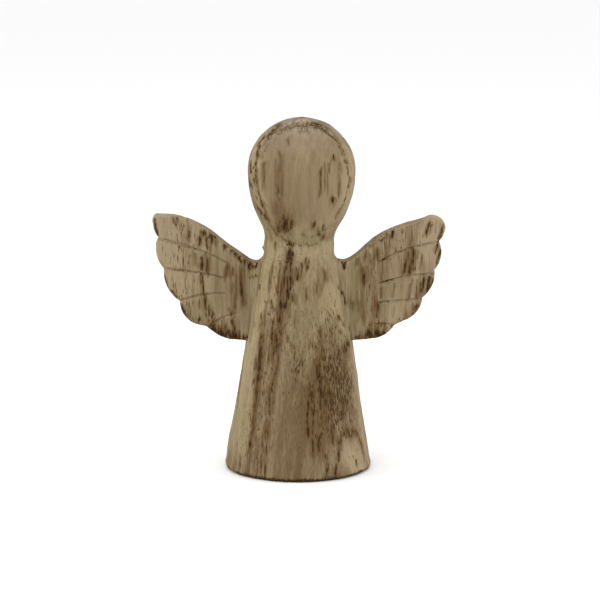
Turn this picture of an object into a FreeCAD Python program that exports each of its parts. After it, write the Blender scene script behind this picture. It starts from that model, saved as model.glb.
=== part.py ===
"""Carved wooden angel: a turned and carved figure with two wings let into its flanks on dowels.

Frame: millimetres, +Z up, the figure faces -Y, and the origin is the centre of the hem face it stands on.
Left is the -X side and right is the +X side, as seen from the front.
"""

import FreeCAD, Part
import math
import os

import Sketcher
from FreeCAD import Placement, Rotation, Vector

# Driving dimensions, in millimetres and degrees. Each is a cell of the spreadsheet with this alias.
DIMENSIONS = [
    # the turned figure
    ("figure_height", 182.0, "hem face to crown"),
    ("head_radius", 27.5, "round of the head, down to its widest part"),
    ("cheek_radius", 53.0, "arc from the widest part down to the neck"),
    ("nape_radius", 16.0, "hollow arc of the neck"),
    ("neck_half_width", 17.75, "narrowest part of the neck"),
    ("shoulder_height", 110.3, "top of the gown"),
    ("shoulder_rounding", 8.0, "eased edge of the shoulders"),
    ("hem_half_width", 37.7, "gown at the hem"),
    ("hem_rounding", 2.5, "worn lower edge"),
    # the planed face
    ("face_axis_back", 24.0, "upright axis of the face's crosswise curve, behind the figure's axis"),
    ("face_bow_radius", 64.0, "arc of the face from chin to crown"),
    ("face_front", 21.1, "most forward point of the face"),
    ("face_middle_height", 147.0, "height of that point"),
    ("chin_height", 120.0, "ledge where the face ends"),
    ("face_sweep", 130.0, "turn of the face's cut"),
    # the wings and their mortises
    ("wing_thickness", 12.0, "board at the root"),
    ("wing_tip_thickness", 7.0, "board at the tip"),
    ("wing_taper_start", 27.0, "reach where the board starts to thin"),
    ("wing_reach", 75.0, "reach of the tip"),
    ("mortise_wall", 14.0, "figure's axis to the floor of each mortise"),
    ("mortise_foot", 67.0, "lower end of each mortise"),
    ("mortise_head", 106.0, "upper end of each mortise"),
    ("wing_edge_chamfer", 0.9, "worn edge of the wings"),
    ("groove_width", 1.3, "cut between two feathers"),
    ("groove_depth", 0.9, "cut between two feathers"),
    # the dowels
    ("dowel_diameter", 5.0, "fluted birch dowel"),
    ("dowel_length", 18.0, "fluted birch dowel"),
    ("dowel_chamfer", 0.6, "dowel's ends"),
    ("flute_radius", 0.3, "flute along a dowel"),
    ("dowel_hole_depth", 9.5, "half a dowel and the room for glue"),
    ("upper_dowel_height", 96.0, "upper dowel of each wing"),
    ("lower_dowel_height", 77.0, "lower dowel of each wing"),
    # the cuts
    ("clearance", 15.0, "how far a cutting outline stands clear of the wood"),
]
FLUTES = 10
LEFT = -1
RIGHT = 1

# Each wing's edge, as (reach from the figure's axis, height). A stretch is an end point for a straight run,
# or a middle point and an end point for an arc. It starts at the upper root corner and runs round the tip,
# from notch to notch between the feathers, to the lower root corner.
WING_START = {LEFT: (14.0, 106.0), RIGHT: (14.0, 106.0)}
WING_EDGE = {
    LEFT: [
        [(21.0, 106.0)],
        [(31.4, 112.0), (43.0, 121.7)],
        [(53.6, 128.3), (65.5, 132.0)],
        [(73.2, 132.4)],
        [(74.7, 131.2), (75.0, 128.0)],
        [(74.2, 124.2), (72.0, 120.4)],
        [(73.2, 118.4), (73.4, 116.0)],
        [(72.6, 109.6), (69.5, 104.4)],
        [(68.1, 95.3), (61.4, 87.5)],
        [(58.6, 79.4), (51.5, 75.2)],
        [(47.7, 74.5)],
        [(41.5, 70.0), (34.5, 68.2)],
        [(24.0, 67.3)],
        [(14.0, 67.0)],
    ],
    RIGHT: [
        [(20.0, 106.2)],
        [(25.2, 108.4), (29.5, 111.6)],
        [(41.2, 121.3), (54.6, 127.5)],
        [(64.0, 130.2)],
        [(71.4, 130.6), (74.7, 126.0)],
        [(73.7, 122.0), (71.3, 118.6)],
        [(72.6, 112.4), (69.2, 104.0)],
        [(68.1, 95.7), (63.0, 89.3)],
        [(60.2, 81.8), (54.0, 77.6)],
        [(48.4, 74.8)],
        [(45.4, 71.3), (38.5, 68.7)],
        [(24.0, 67.6)],
        [(14.0, 67.0)],
    ],
}
# The cuts between the feathers, each as (outer end, middle, inner end).
WING_GROOVES = {
    LEFT: [
        [(73.0, 120.2), (55.0, 115.6), (36.5, 107.5)],
        [(70.5, 104.6), (54.5, 103.0), (37.9, 99.6)],
        [(62.5, 87.3), (49.5, 91.0), (37.9, 91.7)],
        [(47.0, 73.9), (39.8, 78.7), (31.1, 81.6)],
    ],
    RIGHT: [
        [(72.3, 118.5), (57.0, 115.4), (39.7, 107.9)],
        [(70.0, 101.7), (55.0, 100.5), (40.2, 97.0)],
        [(64.0, 88.6), (51.5, 88.0), (40.1, 87.0)],
        [(49.4, 74.6), (43.5, 75.9), (37.7, 75.7)],
    ],
}

doc = FreeCAD.newDocument("CarvedAngel")


def make_sheet():
    """The spreadsheet of driving dimensions, one aliased cell each."""
    sheet = doc.addObject("Spreadsheet::Sheet", "Dimensions")
    for row, (alias, value, note) in enumerate(DIMENSIONS, start=1):
        sheet.set(f"A{row}", alias)
        sheet.set(f"B{row}", str(value))
        sheet.set(f"C{row}", note)
        sheet.setAlias(f"B{row}", alias)
    doc.recompute()
    return sheet


sheet = make_sheet()


def size(alias):
    return float(sheet.get(alias))


def bind(obj, prop, expression):
    """Binds a property to an expression of the sheet's aliases, such as {wing_thickness} / 2."""
    aliases = {alias: f"Dimensions.{alias}" for alias, _, _ in DIMENSIONS}
    obj.setExpression(prop, expression.format(**aliases))


def new_body(label):
    body = doc.addObject("PartDesign::Body", label)
    body.Label = label
    return body


def origin_plane(body, role):
    return next(f for f in body.Origin.OriginFeatures if f.Role == role)


def new_sketch(body, role, name):
    sketch = body.newObject("Sketcher::SketchObject", name)
    sketch.AttachmentSupport = (origin_plane(body, role), [""])
    sketch.MapMode = "FlatFace"
    return sketch


def new_feature(body, kind, name, sketch, **values):
    feature = body.newObject(f"PartDesign::{kind}", name)
    feature.Profile = sketch
    for key, value in values.items():
        setattr(feature, key, value)
    return feature


def limit(sketch, expression, *constraint):
    """Adds a constraint and binds its value to an expression, unless that is None."""
    index = sketch.addConstraint(Sketcher.Constraint(*constraint))
    if expression:
        bind(sketch, f"Constraints[{index}]", expression)


def place(sketch, geometry, point, across, up):
    """Fixes a point's distances from the sketch's origin. Each is (signed start value, expression)."""
    for axis, (value, expression) in (("DistanceX", across), ("DistanceY", up)):
        if value:
            limit(sketch, expression, axis, -1, 1, geometry, point, value)
        else:
            sketch_axis = -2 if axis == "DistanceX" else -1
            limit(sketch, None, "PointOnObject", geometry, point, sketch_axis)


def link(sketch, joined):
    """Joins the end of each (geometry, point) pair to the next one's."""
    for (one, at), (other, there) in joined:
        sketch.addConstraint(Sketcher.Constraint("Coincident", one, at, other, there))


def removed(body, cut, what):
    """Stops the build when a cut took no wood away."""
    before = cut.BaseFeature.Shape.Volume if cut.BaseFeature else 0.0
    doc.recompute()
    if cut.Shape.Volume > before - 1.0:
        raise RuntimeError(f"{body.Label}: the cut {what} removed nothing")


def arc_between(centre, radius, first, last):
    return Part.ArcOfCircle(Part.Circle(Vector(*centre, 0), Vector(0, 0, 1), radius), first, last)


def line(start, end):
    return Part.LineSegment(Vector(*start, 0), Vector(*end, 0))


def turned_profile(body):
    """Half the outline of the turned figure, closed along its axis."""
    height, head = size("figure_height"), size("head_radius")
    cheek, nape = size("cheek_radius"), size("nape_radius")
    widest = height - head
    cheek_x, nape_x = head - cheek, size("neck_half_width") + nape
    neck_height = widest - math.sqrt((cheek + nape) ** 2 - (nape_x - cheek_x) ** 2)
    cheek_turn = math.atan2(neck_height - widest, nape_x - cheek_x)
    shoulder_turn = math.asin((neck_height - size("shoulder_height")) / nape)
    shoulder = (nape_x - nape * math.cos(shoulder_turn), size("shoulder_height"))
    hem = (size("hem_half_width"), 0.0)
    sketch = new_sketch(body, "XZ_Plane", "turned_profile")
    outline = [
        line((0, 0), (0, height)),
        arc_between((0, widest), head, 0, math.pi / 2),
        arc_between((cheek_x, widest), cheek, cheek_turn, 0),
        arc_between((nape_x, neck_height), nape, cheek_turn + math.pi, shoulder_turn + math.pi),
        line(shoulder, hem),
        line(hem, (0, 0)),
    ]
    axis, crown, side, hollow, gown, foot = sketch.addGeometry(outline, False)
    sketch.addConstraint(Sketcher.Constraint("Coincident", axis, 1, -1, 1))
    joined = [
        ((axis, 2), (crown, 2)),
        ((hollow, 2), (gown, 1)),
        ((gown, 2), (foot, 1)),
        ((foot, 2), (axis, 1)),
    ]
    link(sketch, joined)
    sketch.addConstraint(Sketcher.Constraint("PointOnObject", crown, 3, -2))
    sketch.addConstraint(Sketcher.Constraint("Horizontal", crown, 3, crown, 1))
    sketch.addConstraint(Sketcher.Constraint("Tangent", side, 2, crown, 1))
    sketch.addConstraint(Sketcher.Constraint("Tangent", side, 1, hollow, 1))
    for arc, name in ((crown, "head_radius"), (side, "cheek_radius"), (hollow, "nape_radius")):
        limit(sketch, f"{{{name}}}", "Radius", arc, size(name))
    place(sketch, axis, 2, (0, None), (height, "{figure_height}"))
    place(sketch, gown, 2, (hem[0], "{hem_half_width}"), (0, None))
    limit(sketch, "{neck_half_width} + {nape_radius}", "DistanceX", -1, 1, hollow, 3, nape_x)
    limit(sketch, "{shoulder_height}", "DistanceY", -1, 1, hollow, 2, shoulder[1])
    return sketch


def ring_edge(shape, height):
    """The name of the full circle that lies at this height about the figure's axis."""
    for number, edge in enumerate(shape.Edges, start=1):
        if edge.Degenerated or not isinstance(edge.Curve, Part.Circle):
            continue
        centre = edge.Curve.Center
        if abs(centre.z - height) < 0.01 and math.hypot(centre.x, centre.y) < 0.01:
            return f"Edge{number}"
    raise RuntimeError(f"no ring at height {height}")


def round_ring(body, base, height, expression, name):
    fillet = body.newObject("PartDesign::Fillet", name)
    fillet.Base = (base, [ring_edge(base.Shape, height)])
    bind(fillet, "Radius", expression)
    doc.recompute()
    return fillet


def plane_face(body):
    """The front of the head, cut back to a shallow dome that ends in a ledge at the chin."""
    axis_y, bow, front = size("face_axis_back"), size("face_bow_radius"), size("face_front")
    middle, chin = size("face_middle_height"), size("chin_height")
    top = size("figure_height") + size("clearance")
    outer = -front - size("clearance")

    def depth(height):
        return -front + bow - math.sqrt(bow**2 - (height - middle) ** 2)

    turn = [math.atan2(h - middle, depth(h) - (bow - front)) for h in (top, chin)]
    sketch = new_sketch(body, "YZ_Plane", "face_profile")
    bowed, roof, outside, ledge, spindle = sketch.addGeometry(
        [
            arc_between((bow - front, middle), bow, turn[0], turn[1] + 2 * math.pi),
            line((depth(top), top), (outer, top)),
            line((outer, top), (outer, chin)),
            line((outer, chin), (depth(chin), chin)),
            line((axis_y, chin), (axis_y, top)),
        ],
        False,
    )
    sketch.setConstruction(spindle, True)
    link(
        sketch,
        [
            ((bowed, 1), (roof, 1)),
            ((roof, 2), (outside, 1)),
            ((outside, 2), (ledge, 1)),
            ((ledge, 2), (bowed, 2)),
        ],
    )
    for level in (roof, ledge):
        sketch.addConstraint(Sketcher.Constraint("Horizontal", level))
    for upright in (outside, spindle):
        sketch.addConstraint(Sketcher.Constraint("Vertical", upright))
    limit(sketch, "{face_bow_radius}", "Radius", bowed, bow)
    place(
        sketch,
        bowed,
        3,
        (bow - front, "{face_bow_radius} - {face_front}"),
        (middle, "{face_middle_height}"),
    )
    limit(sketch, "{chin_height}", "DistanceY", -1, 1, bowed, 2, chin)
    limit(sketch, "{figure_height} + {clearance}", "DistanceY", -1, 1, bowed, 1, top)
    limit(sketch, None, "DistanceX", outside, 1, -1, 1, -outer)
    place(sketch, spindle, 1, (axis_y, "{face_axis_back}"), (chin, "{chin_height}"))
    limit(sketch, None, "DistanceY", -1, 1, spindle, 2, top)
    groove = new_feature(body, "Groove", "planed_face", sketch, Midplane=True)
    groove.ReferenceAxis = (sketch, ["Axis0"])
    bind(groove, "Angle", "{face_sweep}")
    removed(body, groove, "of the face")


def rectangle(sketch, low, high, expressions):
    """An upright rectangle between two corners, with an expression for each corner's two places."""
    (x0, y0), (x1, y1) = low, high
    corners = [(x0, y0), (x1, y0), (x1, y1), (x0, y1)]
    sides = sketch.addGeometry([line(corners[i], corners[(i + 1) % 4]) for i in range(4)], False)
    link(sketch, [((sides[i], 2), (sides[(i + 1) % 4], 1)) for i in range(4)])
    for i, direction in enumerate(("Horizontal", "Vertical", "Horizontal", "Vertical")):
        sketch.addConstraint(Sketcher.Constraint(direction, sides[i]))
    place(sketch, sides[0], 1, (x0, expressions[0]), (y0, expressions[1]))
    place(sketch, sides[1], 2, (x1, expressions[2]), (y1, expressions[3]))


def cut_mortise(body, side, name):
    """The housing in one flank that a wing's root is glued into, and its two dowel holes."""
    half = size("wing_thickness") / 2
    sketch = new_sketch(body, "YZ_Plane", f"{name}_mortise_outline")
    bind(sketch, "AttachmentOffset.Base.z", "{mortise_wall}" if side == RIGHT else "-{mortise_wall}")
    rectangle(
        sketch,
        (-half, size("mortise_foot")),
        (half, size("mortise_head")),
        ("-{wing_thickness} / 2", "{mortise_foot}", "{wing_thickness} / 2", "{mortise_head}"),
    )
    outward = side == RIGHT
    pocket = new_feature(body, "Pocket", f"{name}_mortise", sketch, Type="ThroughAll", Reversed=outward)
    removed(body, pocket, f"{name}_mortise")
    drill_dowel_holes(body, side, name, into_figure=True)


def drill_dowel_holes(body, side, name, into_figure):
    sketch = new_sketch(body, "YZ_Plane", f"{name}_dowel_marks")
    bind(sketch, "AttachmentOffset.Base.z", "{mortise_wall}" if side == RIGHT else "-{mortise_wall}")
    for level in ("upper_dowel_height", "lower_dowel_height"):
        circle = sketch.addGeometry(
            Part.Circle(Vector(0, size(level), 0), Vector(0, 0, 1), size("dowel_diameter") / 2), False
        )
        place(sketch, circle, 3, (0, None), (size(level), f"{{{level}}}"))
        limit(sketch, "{dowel_diameter} / 2", "Radius", circle, size("dowel_diameter") / 2)
    outward = side == LEFT if into_figure else side == RIGHT
    pocket = new_feature(body, "Pocket", f"{name}_dowel_holes", sketch, Reversed=outward)
    bind(pocket, "Length", "{dowel_hole_depth}")
    removed(body, pocket, f"{name}_dowel_holes")


def make_figure():
    """Gown, neck and head in one piece: turned, then its face planed and its flanks mortised."""
    body = new_body("figure")
    profile = turned_profile(body)
    turned = new_feature(body, "Revolution", "turned", profile, Angle=360.0)
    turned.ReferenceAxis = (profile, ["V_Axis"])
    doc.recompute()
    hem = round_ring(body, turned, 0.0, "{hem_rounding}", "worn_hem")
    round_ring(body, hem, size("shoulder_height"), "{shoulder_rounding}", "eased_shoulders")
    plane_face(body)
    cut_mortise(body, LEFT, "left")
    cut_mortise(body, RIGHT, "right")
    return body


def wing_outline(body, side):
    """The wing's edge: feather tips as arcs from notch to notch, and a square root."""
    sketch = new_sketch(body, "XZ_Plane", "feathered_outline")
    here = WING_START[side]
    chain = []
    for stretch in WING_EDGE[side] + [[WING_START[side]]]:
        points = [Vector(side * reach, height, 0) for reach, height in [here] + stretch]
        chain.append(Part.Arc(*points) if len(points) == 3 else Part.LineSegment(*points))
        here = stretch[-1]
    sketch.addGeometry(chain, False)
    return sketch


def taper_outline(body, side):
    """Two slim wedges in plan, in front of and behind the board, from the taper's start to past the tip."""
    clear = size("clearance")
    start, end = size("wing_taper_start"), size("wing_reach") + clear
    root, tip = size("wing_thickness") / 2, size("wing_tip_thickness") / 2
    slope = (root - tip) / (size("wing_reach") - start)
    thin = root - slope * (end - start)
    sketch = new_sketch(body, "XY_Plane", "taper_in_plan")
    for face in (-1, 1):
        corners = [(start, root), (end, thin), (end, root + clear), (start, root + clear)]
        corners = [(side * x, face * y) for x, y in corners]
        sides = sketch.addGeometry([line(corners[i], corners[(i + 1) % 4]) for i in range(4)], False)
        link(sketch, [((sides[i], 2), (sides[(i + 1) % 4], 1)) for i in range(4)])
        sign = "-" if face < 0 else ""
        place(
            sketch,
            sides[0],
            1,
            (corners[0][0], "-{wing_taper_start}" if side < 0 else "{wing_taper_start}"),
            (corners[0][1], sign + "{wing_thickness} / 2"),
        )
    return sketch


def slopes(face):
    """Whether this is one of the board's two tapered faces, rather than its flat root or its edge."""
    return isinstance(face.Surface, Part.Plane) and 0.9 < abs(face.normalAt(0, 0).y) < 0.9999


def feather_edges(shape):
    """The names of the edges round both sloping faces, apart from the two folds where they start."""
    names = []
    rims = [edge for face in shape.Faces if slopes(face) for edge in face.Edges]
    for number, edge in enumerate(shape.Edges, start=1):
        fold = all(abs(abs(vertex.X) - size("wing_taper_start")) < 0.01 for vertex in edge.Vertexes)
        if not fold and any(edge.isSame(rim) for rim in rims):
            names.append(f"Edge{number}")
    return names


def front_face(shape):
    """The name of the wing's tapered face that looks forward."""
    for number, face in enumerate(shape.Faces, start=1):
        if slopes(face) and face.normalAt(0, 0).y < 0:
            return f"Face{number}"
    raise RuntimeError("the wing has no tapered front")


def groove_outlines(sketch, side, half_width):
    """A narrow band round each feather cut, drawn on the sloping face the sketch is attached to."""
    to_face = sketch.Placement.inverse()
    for cut in WING_GROOVES[side]:
        middle_line = Part.Arc(*[Vector(side * reach, 0, height) for reach, height in cut]).toShape().Curve
        centre = middle_line.Center
        edges = []
        for offset in (-half_width, half_width):
            swell = 1 + offset / middle_line.Radius
            rim = [centre + (Vector(side * reach, 0, height) - centre) * swell for reach, height in cut]
            on_face = [to_face.multVec(point) for point in rim]
            edges.append([Vector(point.x, point.y, 0) for point in on_face])
        near, far = edges
        sketch.addGeometry(
            [
                Part.Arc(*near),
                Part.LineSegment(near[-1], far[-1]),
                Part.Arc(*far[::-1]),
                Part.LineSegment(far[0], near[0]),
            ],
            False,
        )


def make_wing(side, name):
    """One wing: a board that thins towards its tip, with cuts between its feathers on the front."""
    body = new_body(name)
    outline = wing_outline(body, side)
    board = new_feature(body, "Pad", "board", outline, SideType="Symmetric")
    bind(board, "Length", "{wing_thickness}")
    doc.recompute()
    wedges = taper_outline(body, side)
    taper = new_feature(body, "Pocket", "taper", wedges, Type="ThroughAll", Midplane=True)
    removed(body, taper, "of the taper")
    worn = body.newObject("PartDesign::Chamfer", "worn_edges")
    worn.Base = (taper, feather_edges(taper.Shape))
    bind(worn, "Size", "{wing_edge_chamfer}")
    doc.recompute()
    sketch = body.newObject("Sketcher::SketchObject", "feather_cuts_outline")
    sketch.AttachmentSupport = (worn, [front_face(worn.Shape)])
    sketch.MapMode = "FlatFace"
    doc.recompute()
    groove_outlines(sketch, side, size("groove_width") / 2)
    cuts = new_feature(body, "Pocket", "feather_cuts", sketch)
    bind(cuts, "Length", "{groove_depth}")
    removed(body, cuts, "between the feathers")
    drill_dowel_holes(body, side, name, into_figure=False)
    return body


def make_dowel(side, level, name):
    """A fluted dowel with chamfered ends, lying across the joint."""
    body = new_body(name)
    sketch = new_sketch(body, "YZ_Plane", "end")
    circle = sketch.addGeometry(
        Part.Circle(Vector(0, size(level), 0), Vector(0, 0, 1), size("dowel_diameter") / 2), False
    )
    place(sketch, circle, 3, (0, None), (size(level), f"{{{level}}}"))
    limit(sketch, "{dowel_diameter} / 2", "Radius", circle, size("dowel_diameter") / 2)
    middle = "{mortise_wall}" if side == RIGHT else "-{mortise_wall}"
    bind(sketch, "AttachmentOffset.Base.z", middle)
    pin = new_feature(body, "Pad", "pin", sketch, SideType="Symmetric")
    bind(pin, "Length", "{dowel_length}")
    doc.recompute()
    chamfer = body.newObject("PartDesign::Chamfer", "eased_ends")
    rims = [f"Edge{n}" for n, e in enumerate(pin.Shape.Edges, start=1) if isinstance(e.Curve, Part.Circle)]
    chamfer.Base = (pin, rims)
    bind(chamfer, "Size", "{dowel_chamfer}")
    doc.recompute()
    flute_sketch = new_sketch(body, "YZ_Plane", "flute_outline")
    bind(flute_sketch, "AttachmentOffset.Base.z", middle)
    rim_height = size(level) + size("dowel_diameter") / 2
    flute_circle = flute_sketch.addGeometry(
        Part.Circle(Vector(0, rim_height, 0), Vector(0, 0, 1), size("flute_radius")), False
    )
    place(flute_sketch, flute_circle, 3, (0, None), (rim_height, f"{{{level}}} + {{dowel_diameter}} / 2"))
    limit(flute_sketch, "{flute_radius}", "Radius", flute_circle, size("flute_radius"))
    flute = new_feature(body, "Pocket", "flute", flute_sketch, Type="ThroughAll", Midplane=True)
    removed(body, flute, "of the flute")
    spindle = body.newObject("PartDesign::Line", "spindle")
    spindle.AttachmentSupport = (origin_plane(body, "YZ_Plane"), [""])
    spindle.MapMode = "ObjectZ"
    spindle.AttachmentOffset = Placement(Vector(0, size(level), 0), Rotation())
    bind(spindle, "AttachmentOffset.Base.y", f"{{{level}}}")
    doc.recompute()
    pattern = body.newObject("PartDesign::PolarPattern", "flutes")
    pattern.Originals = [flute]
    pattern.Axis = (spindle, [""])
    pattern.Angle = 360.0
    pattern.Occurrences = FLUTES
    body.Tip = pattern
    doc.recompute()
    return body


def check_and_export(bodies):
    """Stops on any failed object, then writes each sub-part's shape."""
    doc.recompute()
    failed = [o.Name for o in doc.Objects if {"Invalid", "Error"} & set(o.State)]
    if failed:
        raise RuntimeError(f"these objects failed: {failed}")
    os.makedirs("parts", exist_ok=True)
    for body in bodies:
        shape = body.Shape
        if shape.isNull() or not shape.isValid() or len(shape.Solids) != 1:
            raise RuntimeError(f"{body.Label} is not one valid solid")
        shape.exportStep(f"parts/{body.Label}.step")
        print(f"{body.Label}: {shape.Volume / 1000:.2f} cm3")


def main():
    bodies = [make_figure()]
    for side, name in ((LEFT, "left"), (RIGHT, "right")):
        bodies.append(make_wing(side, f"{name}_wing"))
        for level in ("upper", "lower"):
            bodies.append(make_dowel(side, f"{level}_dowel_height", f"{name}_{level}_dowel"))
    check_and_export(bodies)


main()
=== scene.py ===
"""Looks of the carved wooden angel: singed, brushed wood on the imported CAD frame.

Blender works in metres. Lengths here are millimetres, which MM turns into metres; only the floor and the
lights are set out in metres. The figure faces -Y. An angle on the gown is in degrees round from the front,
positive to +X. A painted value runs from 0 to 1 unless its function says otherwise.
"""

import math

import bpy
import numpy as np
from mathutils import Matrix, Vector
from mathutils.bvhtree import BVHTree


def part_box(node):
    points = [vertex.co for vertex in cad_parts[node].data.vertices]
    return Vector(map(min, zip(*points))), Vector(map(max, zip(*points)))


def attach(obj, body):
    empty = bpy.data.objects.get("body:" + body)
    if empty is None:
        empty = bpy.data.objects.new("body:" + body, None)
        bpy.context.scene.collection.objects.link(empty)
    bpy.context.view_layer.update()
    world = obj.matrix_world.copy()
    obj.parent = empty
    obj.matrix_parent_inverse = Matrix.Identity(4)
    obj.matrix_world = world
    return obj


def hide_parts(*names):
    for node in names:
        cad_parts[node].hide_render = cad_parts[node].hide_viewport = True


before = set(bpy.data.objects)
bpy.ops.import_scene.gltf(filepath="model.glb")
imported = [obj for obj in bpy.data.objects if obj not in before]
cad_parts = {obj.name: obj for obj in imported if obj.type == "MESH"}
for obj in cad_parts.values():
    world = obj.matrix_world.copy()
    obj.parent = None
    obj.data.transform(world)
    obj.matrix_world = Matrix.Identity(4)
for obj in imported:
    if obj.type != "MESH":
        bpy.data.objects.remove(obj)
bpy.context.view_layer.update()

MM = 0.001
SEED = 7


# ---------------------------------------------------------------- noise


HASH_STEPS = (0x9E3779B1, 0x85EBCA77, 0xC2B2AE3D)
HASH_SEED = 0x27D4EB2F
HASH_MIX = 0x2C1B3C6D
LOW_BITS = 0xFFFFFFFF
HALF_RANGE = 0x7FFFFFFF
CELL_OFFSET = 1000.0  # keeps every cell's number above zero


def lattice(cells, seed):
    """A repeatable value from -1 to 1 for each whole-numbered cell, one row of `cells` each."""
    mixed = np.full(len(cells), seed * HASH_SEED, dtype=np.uint64)
    for axis, step in enumerate(HASH_STEPS):
        mixed ^= cells[:, axis].astype(np.uint64) * np.uint64(step)
    for _ in range(2):
        mixed ^= mixed >> np.uint64(15)
        mixed *= np.uint64(HASH_MIX)
        mixed &= np.uint64(LOW_BITS)
        mixed ^= mixed >> np.uint64(12)
    return mixed.astype(np.float64) / HALF_RANGE - 1.0


def noise(points, scale, seed=0):
    """Smooth noise from about -1 to 1. `scale` is the size of a lump in millimetres, along x, y and z."""
    place = points / np.asarray(scale, dtype=float) + CELL_OFFSET
    cell = np.floor(place)
    part = place - cell
    part = part * part * (3.0 - 2.0 * part)
    total = np.zeros(len(points))
    for corner in np.ndindex(2, 2, 2):
        weight = np.prod(np.where(np.array(corner) == 1, part, 1.0 - part), axis=1)
        total += weight * lattice(cell + corner, SEED + seed)
    return total


def ramp(value, low, high):
    """0 below low, 1 above high, and smooth between them."""
    t = np.clip((value - low) / (high - low), 0.0, 1.0)
    return t * t * (3.0 - 2.0 * t)


def bump_at(value, middle, half):
    """A smooth hump, 1 at the middle and near 0 past twice the half width."""
    return np.exp(-(((value - middle) / half) ** 2))


# ---------------------------------------------------------------- marks in the wood


def segment_distance(across, height, first, last):
    """How far each point is from the straight line between two ends."""
    run, rise = last[0] - first[0], last[1] - first[1]
    length = np.maximum(run * run + rise * rise, 1e-9)
    along = np.clip(((across - first[0]) * run + (height - first[1]) * rise) / length, 0.0, 1.0)
    return np.hypot(across - first[0] - along * run, height - first[1] - along * rise)


def path_distance(across, height, path):
    """How far each point is from a line through the listed places."""
    ends = zip(path[:-1], path[1:])
    return np.min([segment_distance(across, height, first, last) for first, last in ends], axis=0)


def streak_field(points, across, height, unit, streaks):
    """(core, halo): how dark the listed streaks are, and how far they tint the wood beside them.

    A streak is listed as the place of both its ends, its half width and its darkness. `unit` is one step of
    `across` in millimetres. Each fibre of a streak ends at a height of its own.
    """
    frayed = 0.5 * noise(points, (0.7, 0.7, 12.0), 11) + 0.25 * noise(points, (0.9, 0.9, 3.0), 12)
    uneven = height + 2.4 * noise(points, (0.9, 0.9, 300.0), 13)
    beaded = 0.92 + 0.5 * noise(points, (0.7, 0.7, 1.9), 14)
    core = np.zeros(len(points))
    halo = np.zeros(len(points))
    for first_across, first_up, last_across, last_up, half_width, darkness in streaks:
        ends = (first_across * unit, first_up), (last_across * unit, last_up)
        distance = segment_distance(across * unit, uneven, *ends) / half_width
        core = np.maximum(core, darkness * (1.0 - ramp(distance + frayed, 0.15, 1.3)))
        halo = np.maximum(halo, darkness * (1.0 - ramp(distance + 0.6 * frayed, 0.6, 2.8)))
    return core * beaded, halo


def patch_field(across, height, patches):
    """Soft oval patches added up; each is listed as its middle, its half sizes and its amount."""
    total = np.zeros(len(height))
    for place, level, half_across, half_up, amount in patches:
        total += amount * bump_at(across, place, half_across) * bump_at(height, level, half_up)
    return total


# ---------------------------------------------------------------- mesh helpers


def mesh_object(name, vertices, faces):
    """A new object in the scene, from vertices in metres."""
    mesh = bpy.data.meshes.new(name)
    mesh.from_pydata(vertices.tolist(), [], faces)
    mesh.update()
    piece = bpy.data.objects.new(name, mesh)
    bpy.context.collection.objects.link(piece)
    return piece


def points_of(mesh):
    """Every vertex of a mesh, in millimetres."""
    flat = np.empty(len(mesh.vertices) * 3)
    mesh.vertices.foreach_get("co", flat)
    return flat.reshape(-1, 3) / MM


def normals_of(mesh):
    """The direction each vertex faces."""
    flat = np.empty(len(mesh.vertices) * 3)
    mesh.vertex_normals.foreach_get("vector", flat)
    return flat.reshape(-1, 3)


def move_points(mesh, points):
    """Puts every vertex at a new place, in millimetres."""
    mesh.vertices.foreach_set("co", (points * MM).ravel())
    mesh.update()


def paint(mesh, name, values):
    """Stores one number for each vertex, for the material to read."""
    layer = mesh.attributes.new(name, "FLOAT", "POINT")
    layer.data.foreach_set("value", np.asarray(values, dtype=np.float32))


def paint_layers(mesh, soot_and_shade, tone, olive, speckle):
    """Stores the four layers that the singed wood reads, each held within its range."""
    paint(mesh, "soot_and_shade", np.clip(soot_and_shade, 0.0, 1.0))
    paint(mesh, "tone", np.clip(tone, 0.0, 1.2))
    paint(mesh, "olive", np.clip(olive, -1.0, 1.0))
    paint(mesh, "speckle", np.clip(speckle, 0.0, 1.0))


def shade_smooth(mesh):
    """Shades across the faces, so that no facet shows."""
    mesh.polygons.foreach_set("use_smooth", [True] * len(mesh.polygons))


def tree_of(name):
    """The surface of a CAD piece, ready for rays and nearest points."""
    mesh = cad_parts[name].data
    corners = [vertex.co.copy() for vertex in mesh.vertices]
    faces = [polygon.vertices[:] for polygon in mesh.polygons]
    return BVHTree.FromPolygons(corners, faces)


# ---------------------------------------------------------------- the figure's mesh

HEAD_CENTRE = 154.5
HEAD_RADIUS = 27.5
CHIN = 120.0
COLUMNS = 310
STEP = 0.64  # from ring to ring
HEM_RINGS = (0.02, 0.12, 0.35, 0.8, 1.5, 2.2)
FIRST_SIDE_RING = 2.9
UNDERSIDE_RINGS = (0.93, 0.8, 0.6, 0.4, 0.2)  # shares of the hem's radius
CROWN_LIFT = 0.01
CROWDING = 0.45  # columns stand this share closer together than average in the middle of the front
FRONT_ARC = 1.25  # radians either side of the front; past it a ray could run into a mortise
SANDED_HALF = 3.5
SANDING_PASSES = 2


def figure_rows():
    """(height of the ray's start on the axis, its angle above level) for each ring from hem to crown."""
    hem = [(height, 0.0) for height in HEM_RINGS]
    side = [(height, 0.0) for height in np.arange(FIRST_SIDE_RING, HEAD_CENTRE, STEP)]
    turn = STEP / HEAD_RADIUS
    crown = [(HEAD_CENTRE, angle) for angle in np.arange(0.0, math.pi / 2 - turn / 2, turn)]
    return hem + side + crown


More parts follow.
